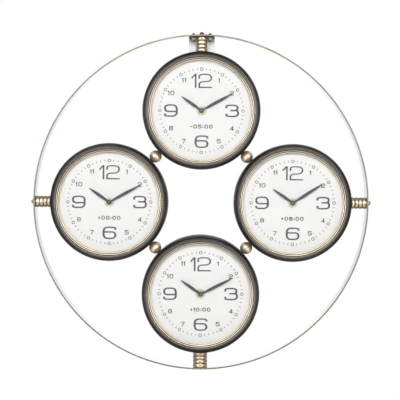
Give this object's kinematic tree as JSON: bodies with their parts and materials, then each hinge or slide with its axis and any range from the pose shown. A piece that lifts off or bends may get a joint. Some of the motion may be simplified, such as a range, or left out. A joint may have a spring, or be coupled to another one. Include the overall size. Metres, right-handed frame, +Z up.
{
  "type": "world time wall clock",
  "caption": "Wall hoop carrying a cross of round clocks for different time zones, each with its own case, bezel, glass, dial, hands and battery movement, hung from a keyhole plate.",
  "frame": {"origin": "centre of the hanger plate's keyhole, on the wall plane", "axes": "+Z up, +Y into the wall along the keyhole's axis, +X to the right of someone who reads the dials; the dials face -Y"},
  "size_m": [0.544, 0.0451, 0.5387],
  "materials": {
    "hoop_gold": "antique gold plating, rubbed and lacquered",
    "zinc_plate": "bright zinc plate",
    "zinc_fastener": "bright zinc plate",
    "screw_gold": "antique gold plating",
    "post_gold": "turned, antique gold plating",
    "ball_gold": "turned, antique gold plating",
    "inner_screw_steel": "zinc plate",
    "nut_brass": "plain turned brass",
    "contact_spring_steel": "nickel plate",
    "back_cover_plastic": "moulded, fine spark texture",
    "movement_plastic": "moulded",
    "movement_cover_plastic": "moulded",
    "battery_sleeve": "printed sleeve, plain",
    "coil_copper": "enamelled copper wire",
    "stator_steel": "plain",
    "board_laminate": "solder mask",
    "case_gunmetal": "dark bronze-grey satin lacquer",
    "bezel_gold": "spun, antique gold with fine rings",
    "lens_glass": "clear flat glass",
    "dial_white": "matt white coat",
    "centre_wheel_brass": "plain",
    "hour_wheel_acetal": "natural",
    "setting_knob_plastic": "moulded",
    "third_wheel_acetal": "natural",
    "rotor_magnet": "sintered magnet on a steel arbor",
    "hand_grey": "dark grey satin paint"
  },
  "bodies": {
    "hoop_and_cases": {"outer_ring": "hoop_gold", "hanger_plate": "zinc_plate", "hanger_fasteners": "zinc_fastener", "ring_screws": "screw_gold", "ring_posts": "post_gold", "link_balls": "ball_gold", "case_screws": "inner_screw_steel", "hub_nuts": "nut_brass", "battery_contacts": "contact_spring_steel", "back_covers": "back_cover_plastic", "movement_cases": "movement_plastic", "movement_covers": "movement_cover_plastic", "batteries": "battery_sleeve", "motor_coils": "coil_copper", "motor_stators": "stator_steel", "circuit_boards": "board_laminate", "top_case": "case_gunmetal", "top_bezel": "bezel_gold", "top_lens": "lens_glass", "top_dial": "dial_white", "right_case": "case_gunmetal", "right_bezel": "bezel_gold", "right_lens": "lens_glass", "right_dial": "dial_white", "bottom_case": "case_gunmetal", "bottom_bezel": "bezel_gold", "bottom_lens": "lens_glass", "bottom_dial": "dial_white", "left_case": "case_gunmetal", "left_bezel": "bezel_gold", "left_lens": "lens_glass", "left_dial": "dial_white"},
    "top_minute": {"top_minute_hand": "hand_grey", "top_centre_wheel": "centre_wheel_brass"},
    "top_hour": {"top_hour_hand": "hand_grey", "top_hour_wheel": "hour_wheel_acetal"},
    "top_setting": {"top_setting_wheel": "setting_knob_plastic"},
    "top_third": {"top_third_wheel": "third_wheel_acetal"},
    "top_rotor_shaft": {"top_rotor": "rotor_magnet"},
    "right_minute": {"right_minute_hand": "hand_grey", "right_centre_wheel": "centre_wheel_brass"},
    "right_hour": {"right_hour_hand": "hand_grey", "right_hour_wheel": "hour_wheel_acetal"},
    "right_setting": {"right_setting_wheel": "setting_knob_plastic"},
    "right_third": {"right_third_wheel": "third_wheel_acetal"},
    "right_rotor_shaft": {"right_rotor": "rotor_magnet"},
    "bottom_minute": {"bottom_minute_hand": "hand_grey", "bottom_centre_wheel": "centre_wheel_brass"},
    "bottom_hour": {"bottom_hour_hand": "hand_grey", "bottom_hour_wheel": "hour_wheel_acetal"},
    "bottom_setting": {"bottom_setting_wheel": "setting_knob_plastic"},
    "bottom_third": {"bottom_third_wheel": "third_wheel_acetal"},
    "bottom_rotor_shaft": {"bottom_rotor": "rotor_magnet"},
    "left_minute": {"left_minute_hand": "hand_grey", "left_centre_wheel": "centre_wheel_brass"},
    "left_hour": {"left_hour_hand": "hand_grey", "left_hour_wheel": "hour_wheel_acetal"},
    "left_setting": {"left_setting_wheel": "setting_knob_plastic"},
    "left_third": {"left_third_wheel": "third_wheel_acetal"},
    "left_rotor_shaft": {"left_rotor": "rotor_magnet"}
  },
  "joints": [
    {"name": "top_minute_turn", "type": "hinge", "parent": "hoop_and_cases", "child": "top_minute", "pos_m": [0, -0.03, -0.10041], "axis": [0, 1, 0], "continuous": true},
    {"name": "top_hour_turn", "type": "hinge", "parent": "hoop_and_cases", "child": "top_hour", "pos_m": [0, -0.03, -0.10041], "axis": [0, 1, 0], "continuous": true},
    {"name": "top_setting_turn", "type": "hinge", "parent": "hoop_and_cases", "child": "top_setting", "pos_m": [0, -0.03, -0.08841], "axis": [0, 1, 0], "continuous": true},
    {"name": "top_third_turn", "type": "hinge", "parent": "hoop_and_cases", "child": "top_third", "pos_m": [0.0108, -0.03, -0.10041], "axis": [0, 1, 0], "continuous": true},
    {"name": "top_rotor_shaft_turn", "type": "hinge", "parent": "hoop_and_cases", "child": "top_rotor_shaft", "pos_m": [0.0159, -0.03, -0.09158], "axis": [0, 1, 0], "continuous": true},
    {"name": "right_minute_turn", "type": "hinge", "parent": "hoop_and_cases", "child": "right_minute", "pos_m": [0.14589, -0.03, -0.2463], "axis": [0, 1, 0], "continuous": true},
    {"name": "right_hour_turn", "type": "hinge", "parent": "hoop_and_cases", "child": "right_hour", "pos_m": [0.14589, -0.03, -0.2463], "axis": [0, 1, 0], "continuous": true},
    {"name": "right_setting_turn", "type": "hinge", "parent": "hoop_and_cases", "child": "right_setting", "pos_m": [0.14589, -0.03, -0.2343], "axis": [0, 1, 0], "continuous": true},
    {"name": "right_third_turn", "type": "hinge", "parent": "hoop_and_cases", "child": "right_third", "pos_m": [0.15669, -0.03, -0.2463], "axis": [0, 1, 0], "continuous": true},
    {"name": "right_rotor_shaft_turn", "type": "hinge", "parent": "hoop_and_cases", "child": "right_rotor_shaft", "pos_m": [0.16179, -0.03, -0.23747], "axis": [0, 1, 0], "continuous": true},
    {"name": "bottom_minute_turn", "type": "hinge", "parent": "hoop_and_cases", "child": "bottom_minute", "pos_m": [0, -0.03, -0.39219], "axis": [0, 1, 0], "continuous": true},
    {"name": "bottom_hour_turn", "type": "hinge", "parent": "hoop_and_cases", "child": "bottom_hour", "pos_m": [0, -0.03, -0.39219], "axis": [0, 1, 0], "continuous": true},
    {"name": "bottom_setting_turn", "type": "hinge", "parent": "hoop_and_cases", "child": "bottom_setting", "pos_m": [0, -0.03, -0.38019], "axis": [0, 1, 0], "continuous": true},
    {"name": "bottom_third_turn", "type": "hinge", "parent": "hoop_and_cases", "child": "bottom_third", "pos_m": [0.0108, -0.03, -0.39219], "axis": [0, 1, 0], "continuous": true},
    {"name": "bottom_rotor_shaft_turn", "type": "hinge", "parent": "hoop_and_cases", "child": "bottom_rotor_shaft", "pos_m": [0.0159, -0.03, -0.38336], "axis": [0, 1, 0], "continuous": true},
    {"name": "left_minute_turn", "type": "hinge", "parent": "hoop_and_cases", "child": "left_minute", "pos_m": [-0.14589, -0.03, -0.2463], "axis": [0, 1, 0], "continuous": true},
    {"name": "left_hour_turn", "type": "hinge", "parent": "hoop_and_cases", "child": "left_hour", "pos_m": [-0.14589, -0.03, -0.2463], "axis": [0, 1, 0], "continuous": true},
    {"name": "left_setting_turn", "type": "hinge", "parent": "hoop_and_cases", "child": "left_setting", "pos_m": [-0.14589, -0.03, -0.2343], "axis": [0, 1, 0], "continuous": true},
    {"name": "left_third_turn", "type": "hinge", "parent": "hoop_and_cases", "child": "left_third", "pos_m": [-0.13509, -0.03, -0.2463], "axis": [0, 1, 0], "continuous": true},
    {"name": "left_rotor_shaft_turn", "type": "hinge", "parent": "hoop_and_cases", "child": "left_rotor_shaft", "pos_m": [-0.12999, -0.03, -0.23747], "axis": [0, 1, 0], "continuous": true}
  ],
  "couplings": [
    {"joint": "top_hour_turn", "follows": "top_minute_turn", "ratio": 0.083333},
    {"joint": "top_setting_turn", "follows": "top_minute_turn", "ratio": -0.33333},
    {"joint": "top_third_turn", "follows": "top_minute_turn", "ratio": -8},
    {"joint": "top_rotor_shaft_turn", "follows": "top_minute_turn", "ratio": 60},
    {"joint": "right_hour_turn", "follows": "right_minute_turn", "ratio": 0.083333},
    {"joint": "right_setting_turn", "follows": "right_minute_turn", "ratio": -0.33333},
    {"joint": "right_third_turn", "follows": "right_minute_turn", "ratio": -8},
    {"joint": "right_rotor_shaft_turn", "follows": "right_minute_turn", "ratio": 60},
    {"joint": "bottom_hour_turn", "follows": "bottom_minute_turn", "ratio": 0.083333},
    {"joint": "bottom_setting_turn", "follows": "bottom_minute_turn", "ratio": -0.33333},
    {"joint": "bottom_third_turn", "follows": "bottom_minute_turn", "ratio": -8},
    {"joint": "bottom_rotor_shaft_turn", "follows": "bottom_minute_turn", "ratio": 60},
    {"joint": "left_hour_turn", "follows": "left_minute_turn", "ratio": 0.083333},
    {"joint": "left_setting_turn", "follows": "left_minute_turn", "ratio": -0.33333},
    {"joint": "left_third_turn", "follows": "left_minute_turn", "ratio": -8},
    {"joint": "left_rotor_shaft_turn", "follows": "left_minute_turn", "ratio": 60}
  ]
}
